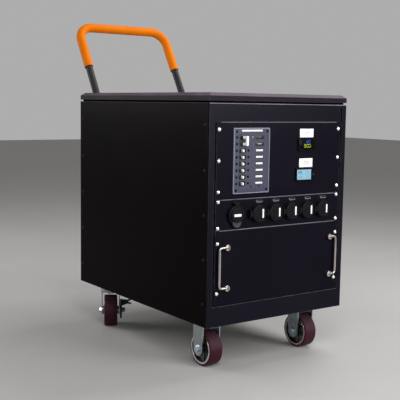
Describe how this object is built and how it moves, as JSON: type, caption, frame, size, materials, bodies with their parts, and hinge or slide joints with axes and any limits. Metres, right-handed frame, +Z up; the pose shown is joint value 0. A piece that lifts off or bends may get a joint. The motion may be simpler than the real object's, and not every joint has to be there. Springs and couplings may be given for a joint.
{
  "type": "portable power distribution box",
  "caption": "Rolling steel cabinet with a rack front: breaker and meter panel, capped sockets, battery panel with fold-flat pulls, lid, tilted push handle and braked casters.",
  "frame": {"origin": "on the floor, at the middle of the footprint box", "axes": "+Z up, +X to the right seen from the rack front, +Y from the rack front to the back and the push handle"},
  "size_m": [0.5362, 0.9937, 1.0835],
  "materials": {
    "cabinet_paint": "satin black powder coat",
    "panel_paint": "satin black powder coat on aluminium plate",
    "cover_paint": "satin charcoal powder coat",
    "handle_paint": "semi-gloss black paint",
    "orange_foam": "closed-cell foam sleeve, soft sheen",
    "zinc": "bright zinc plate",
    "nickel": "bright nickel screws",
    "satin_chrome": "satin chrome wire",
    "black_steel": "black oxide steel",
    "wheel_metal": "cast aluminium wheel centre",
    "tread_urethane": "maroon cast polyurethane",
    "breaker_face": "textured blue-grey moulding",
    "black_plastic": "black moulded plastic",
    "white_plastic": "white moulded lever",
    "meter_plastic": "black gloss bezel",
    "socket_plastic": "fine-textured black moulding",
    "seal_rubber": "black foam seal",
    "battery_case": "dark grey battery case",
    "inverter_case": "grey powder coat"
  },
  "bodies": {
    "cabinet": {"base_pan": "cabinet_paint", "left_side_panel": "cabinet_paint", "right_side_panel": "cabinet_paint", "rear_panel": "cabinet_paint", "front_frame": "panel_paint", "top_cover": "cover_paint", "cover_seal": "seal_rubber", "rack_rails": "cabinet_paint", "rack_screws": "nickel", "black_screws": "black_steel", "meter_panel": "panel_paint", "outlet_panel": "panel_paint", "battery_panel": "panel_paint", "breaker_plate": "breaker_face", "breaker_bodies": "black_plastic", "ac_meter": "meter_plastic", "battery_monitor": "meter_plastic", "inlet_body": "socket_plastic", "outlet_bodies": "socket_plastic", "pull_handle_posts": "satin_chrome", "push_handle_tube": "handle_paint", "push_handle_grip": "orange_foam", "handle_clamps": "black_plastic", "equipment_shelves": "zinc", "battery_pack": "battery_case", "inverter": "inverter_case", "caster_bolts": "zinc", "front_caster_forks": "zinc", "front_axle_bolts": "zinc", "rear_caster_plates": "zinc"},
    "left_front_wheel": {"left_front_wheel_core": "wheel_metal", "left_front_tread": "tread_urethane"},
    "left_swivel": {"left_swivel_fork": "zinc", "left_rear_axle": "zinc"},
    "left_rear_wheel": {"left_rear_wheel_core": "wheel_metal", "left_rear_tread": "tread_urethane"},
    "left_brake": {"left_brake_pedal": "black_steel"},
    "right_front_wheel": {"right_front_wheel_core": "wheel_metal", "right_front_tread": "tread_urethane"},
    "right_swivel": {"right_swivel_fork": "zinc", "right_rear_axle": "zinc"},
    "right_rear_wheel": {"right_rear_wheel_core": "wheel_metal", "right_rear_tread": "tread_urethane"},
    "right_brake": {"right_brake_pedal": "black_steel"},
    "left_handle": {"left_pull_handle": "satin_chrome"},
    "right_handle": {"right_pull_handle": "satin_chrome"},
    "main_switch": {"main_toggle": "white_plastic"},
    "branch_switch_1": {"branch_toggle_1": "white_plastic"},
    "branch_switch_2": {"branch_toggle_2": "white_plastic"},
    "branch_switch_3": {"branch_toggle_3": "white_plastic"},
    "branch_switch_4": {"branch_toggle_4": "white_plastic"},
    "branch_switch_5": {"branch_toggle_5": "white_plastic"},
    "branch_switch_6": {"branch_toggle_6": "white_plastic"},
    "inlet_lid": {"inlet_cap": "socket_plastic"},
    "outlet_lid_1": {"outlet_cap_1": "socket_plastic"},
    "outlet_lid_2": {"outlet_cap_2": "socket_plastic"},
    "outlet_lid_3": {"outlet_cap_3": "socket_plastic"},
    "outlet_lid_4": {"outlet_cap_4": "socket_plastic"},
    "outlet_lid_5": {"outlet_cap_5": "socket_plastic"},
    "monitor_key": {"monitor_button": "meter_plastic"}
  },
  "joints": [
    {"name": "left_front_wheel_spin", "type": "hinge", "parent": "cabinet", "child": "left_front_wheel", "pos_m": [-0.19, -0.37186, 0.054], "axis": [1, 0, 0], "continuous": true},
    {"name": "left_swivel_turn", "type": "hinge", "parent": "cabinet", "child": "left_swivel", "pos_m": [-0.19, 0.22014, 0.12], "axis": [0, 0, 1], "continuous": true},
    {"name": "left_rear_wheel_spin", "type": "hinge", "parent": "left_swivel", "child": "left_rear_wheel", "pos_m": [-0.20842, 0.1869, 0.054], "axis": [0.8746, -0.4848, 0], "continuous": true},
    {"name": "left_brake_press", "type": "hinge", "parent": "left_swivel", "child": "left_brake", "pos_m": [-0.20842, 0.1869, 0.054], "axis": [0.8746, -0.4848, 0], "range_deg": [0, 18]},
    {"name": "right_front_wheel_spin", "type": "hinge", "parent": "cabinet", "child": "right_front_wheel", "pos_m": [0.19, -0.37186, 0.054], "axis": [1, 0, 0], "continuous": true},
    {"name": "right_swivel_turn", "type": "hinge", "parent": "cabinet", "child": "right_swivel", "pos_m": [0.19, 0.22014, 0.12], "axis": [0, 0, 1], "continuous": true},
    {"name": "right_rear_wheel_spin", "type": "hinge", "parent": "right_swivel", "child": "right_rear_wheel", "pos_m": [0.1682, 0.18901, 0.054], "axis": [0.8192, -0.5736, 0], "continuous": true},
    {"name": "right_brake_press", "type": "hinge", "parent": "right_swivel", "child": "right_brake", "pos_m": [0.1682, 0.18901, 0.054], "axis": [0.8192, -0.5736, 0], "range_deg": [0, 18]},
    {"name": "left_handle_fold", "type": "hinge", "parent": "cabinet", "child": "left_handle", "pos_m": [-0.2025, -0.48286, 0.316], "axis": [0, 0, 1], "range_deg": [0, 90]},
    {"name": "right_handle_fold", "type": "hinge", "parent": "cabinet", "child": "right_handle", "pos_m": [0.2025, -0.48286, 0.316], "axis": [0, 0, -1], "range_deg": [0, 90]},
    {"name": "main_switch_throw", "type": "hinge", "parent": "cabinet", "child": "main_switch", "pos_m": [-0.15, -0.47386, 0.68427], "axis": [0, 0, 1], "range_deg": [-30, 0]},
    {"name": "branch_switch_1_throw", "type": "hinge", "parent": "cabinet", "child": "branch_switch_1", "pos_m": [-0.15, -0.47386, 0.6557], "axis": [0, 0, 1], "range_deg": [0, 30]},
    {"name": "branch_switch_2_throw", "type": "hinge", "parent": "cabinet", "child": "branch_switch_2", "pos_m": [-0.15, -0.47386, 0.63665], "axis": [0, 0, 1], "range_deg": [0, 30]},
    {"name": "branch_switch_3_throw", "type": "hinge", "parent": "cabinet", "child": "branch_switch_3", "pos_m": [-0.15, -0.47386, 0.6176], "axis": [0, 0, 1], "range_deg": [0, 30]},
    {"name": "branch_switch_4_throw", "type": "hinge", "parent": "cabinet", "child": "branch_switch_4", "pos_m": [-0.15, -0.47386, 0.59855], "axis": [0, 0, 1], "range_deg": [0, 30]},
    {"name": "branch_switch_5_throw", "type": "hinge", "parent": "cabinet", "child": "branch_switch_5", "pos_m": [-0.15, -0.47386, 0.5795], "axis": [0, 0, 1], "range_deg": [0, 30]},
    {"name": "branch_switch_6_throw", "type": "hinge", "parent": "cabinet", "child": "branch_switch_6", "pos_m": [-0.15, -0.47386, 0.56045], "axis": [0, 0, 1], "range_deg": [0, 30]},
    {"name": "inlet_lid_swing", "type": "hinge", "parent": "cabinet", "child": "inlet_lid", "pos_m": [-0.171, -0.48486, 0.5035], "axis": [-1, 0, 0], "range_deg": [0, 110]},
    {"name": "outlet_lid_1_swing", "type": "hinge", "parent": "cabinet", "child": "outlet_lid_1", "pos_m": [-0.1202, -0.48486, 0.47], "axis": [0, 0, -1], "range_deg": [0, 95]},
    {"name": "outlet_lid_2_swing", "type": "hinge", "parent": "cabinet", "child": "outlet_lid_2", "pos_m": [-0.0561, -0.48486, 0.47], "axis": [0, 0, -1], "range_deg": [0, 95]},
    {"name": "outlet_lid_3_swing", "type": "hinge", "parent": "cabinet", "child": "outlet_lid_3", "pos_m": [0.008, -0.48486, 0.47], "axis": [0, 0, -1], "range_deg": [0, 95]},
    {"name": "outlet_lid_4_swing", "type": "hinge", "parent": "cabinet", "child": "outlet_lid_4", "pos_m": [0.0721, -0.48486, 0.47], "axis": [0, 0, -1], "range_deg": [0, 95]},
    {"name": "outlet_lid_5_swing", "type": "hinge", "parent": "cabinet", "child": "outlet_lid_5", "pos_m": [0.1362, -0.48486, 0.47], "axis": [0, 0, -1], "range_deg": [0, 95]},
    {"name": "monitor_key_press", "type": "slide", "parent": "cabinet", "child": "monitor_key", "axis": [0, 1, 0], "range_m": [0, 0.001], "stiffness_N_per_m": 400}
  ]
}
